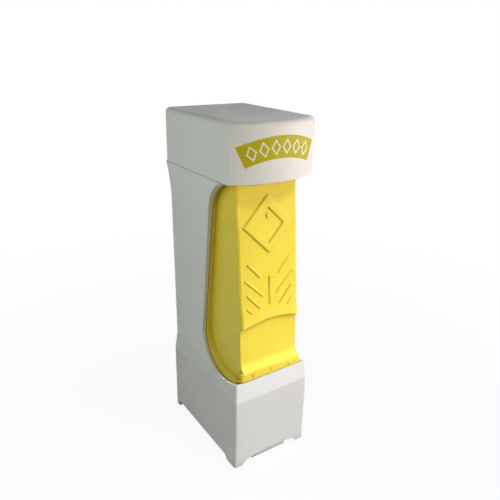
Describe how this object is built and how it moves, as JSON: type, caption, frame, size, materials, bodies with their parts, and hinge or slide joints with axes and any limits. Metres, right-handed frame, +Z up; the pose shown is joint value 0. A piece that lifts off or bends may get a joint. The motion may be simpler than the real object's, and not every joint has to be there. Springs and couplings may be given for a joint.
{
  "type": "butter dispenser",
  "caption": "Squeeze-lever butter dispenser: a white tower under a lift-off cap holds a stick of butter, and a yellow lever drives a blade that cuts a pat.",
  "frame": {"origin": "centre of the outline at the table, under the middle of the tower", "axes": "+X along the width, -Y towards the lever, +Z up from the table"},
  "size_m": [0.055, 0.076, 0.203],
  "materials": {
    "white_plastic": "moulded warm white plastic, satin gloss",
    "yellow_plastic": "moulded butter-yellow plastic, glossy",
    "blade_steel": "ground stainless sheet",
    "plain_steel": "drawn stainless wire and rod"
  },
  "bodies": {
    "housing": {"housing": "white_plastic", "bottom_frame": "white_plastic", "butter_chute": "white_plastic", "frame_screws": "plain_steel", "pivot_axle": "plain_steel", "return_spring": "plain_steel"},
    "lever": {"lever": "yellow_plastic", "drive_pin_left": "plain_steel", "drive_pin_right": "plain_steel"},
    "cutter": {"cutter_slide": "yellow_plastic", "cutter_blade": "blade_steel", "blade_rivets": "plain_steel"},
    "cap": {"top_cap": "white_plastic"}
  },
  "joints": [
    {"name": "lever_squeeze", "type": "hinge", "parent": "housing", "child": "lever", "pos_m": [0, -0.0185, 0.184], "axis": [1, 0, 0], "range_deg": [0, 11.86], "stiffness_Nm_per_rad": 0.25, "springref_deg": -45.84, "deforming": ["return_spring"]},
    {"name": "cutter_slide", "type": "slide", "parent": "housing", "child": "cutter", "axis": [0, 1, 0], "range_m": [0, 0.0347]},
    {"name": "cap_lift", "type": "slide", "parent": "housing", "child": "cap", "axis": [0, 0, 1], "range_m": [0, 0.035]}
  ],
  "couplings": [
    {"joint": "cutter_slide", "follows": "lever_squeeze", "m_per_rad": 0.1671}
  ]
}
